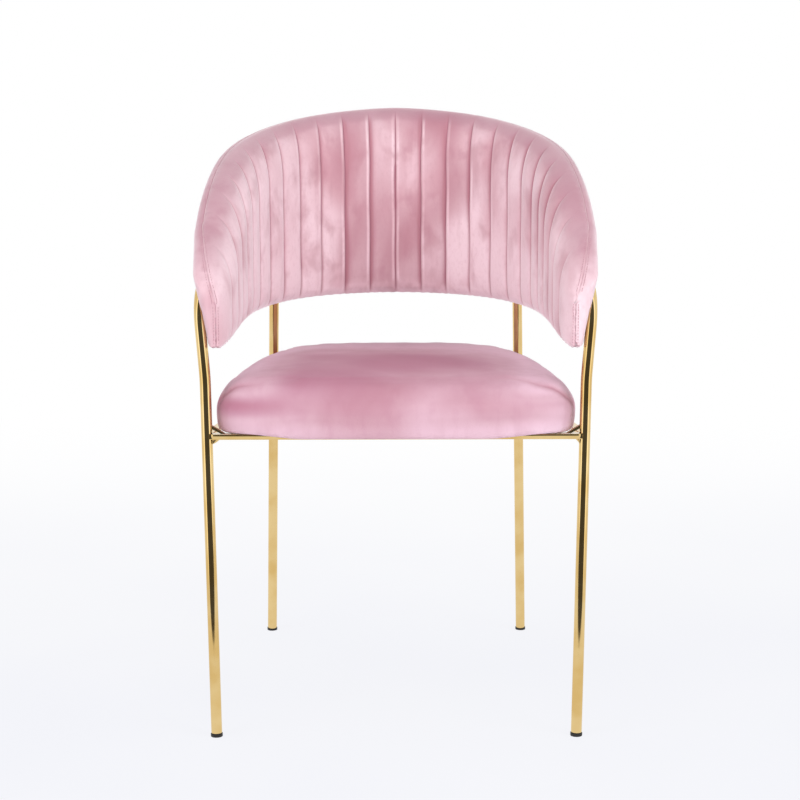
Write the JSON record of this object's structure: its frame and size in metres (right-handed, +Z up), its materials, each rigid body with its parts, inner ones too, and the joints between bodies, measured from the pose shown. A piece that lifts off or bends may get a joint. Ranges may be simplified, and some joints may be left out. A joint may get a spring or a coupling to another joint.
{
  "type": "armchair",
  "caption": "Upholstered armchair with a channelled wrap-around back, a crowned seat cushion and a bent tube frame with slender legs.",
  "frame": {"origin": "on the floor under the middle of the chair's outer box", "axes": "+Z up, -Y the way the seat faces, +X to the right seen from the front"},
  "size_m": [0.5454, 0.5374, 0.8616],
  "materials": {
    "gold_tube": "polished gold-coloured plating on steel",
    "foot_plastic": "black, satin",
    "velvet": "dusty pink velvet with a short pile",
    "plywood": "raw plywood",
    "dust_cloth": "black non-woven cloth",
    "zinc_steel": "zinc plated"
  },
  "bodies": {
    "root": {"right_side_tube": "gold_tube", "left_side_tube": "gold_tube", "front_right_foot_plug": "foot_plastic", "front_left_foot_plug": "foot_plastic", "rear_right_foot_plug": "foot_plastic", "rear_left_foot_plug": "foot_plastic", "front_seat_rail": "gold_tube", "rear_seat_rail": "gold_tube", "right_seat_rail": "gold_tube", "left_seat_rail": "gold_tube", "front_right_gusset": "gold_tube", "front_left_gusset": "gold_tube", "front_right_corner_plate": "gold_tube", "front_left_corner_plate": "gold_tube", "rear_right_corner_plate": "gold_tube", "rear_left_corner_plate": "gold_tube", "front_right_seat_screw": "zinc_steel", "front_right_seat_tee_nut": "zinc_steel", "front_left_seat_screw": "zinc_steel", "front_left_seat_tee_nut": "zinc_steel", "rear_right_seat_screw": "zinc_steel", "rear_right_seat_tee_nut": "zinc_steel", "rear_left_seat_screw": "zinc_steel", "rear_left_seat_tee_nut": "zinc_steel", "seat_board": "plywood", "seat_dust_cover": "dust_cloth", "seat_cushion": "velvet", "right_back_tee_nut_1": "zinc_steel", "right_back_screw_1": "zinc_steel", "left_back_tee_nut_1": "zinc_steel", "left_back_screw_1": "zinc_steel", "right_back_tee_nut_2": "zinc_steel", "right_back_screw_2": "zinc_steel", "left_back_tee_nut_2": "zinc_steel", "left_back_screw_2": "zinc_steel", "right_back_tee_nut_3": "zinc_steel", "right_back_screw_3": "zinc_steel", "left_back_tee_nut_3": "zinc_steel", "left_back_screw_3": "zinc_steel", "back_board": "plywood", "back_channel_pad": "velvet", "back_outer_panel": "velvet"}
  },
  "joints": []
}
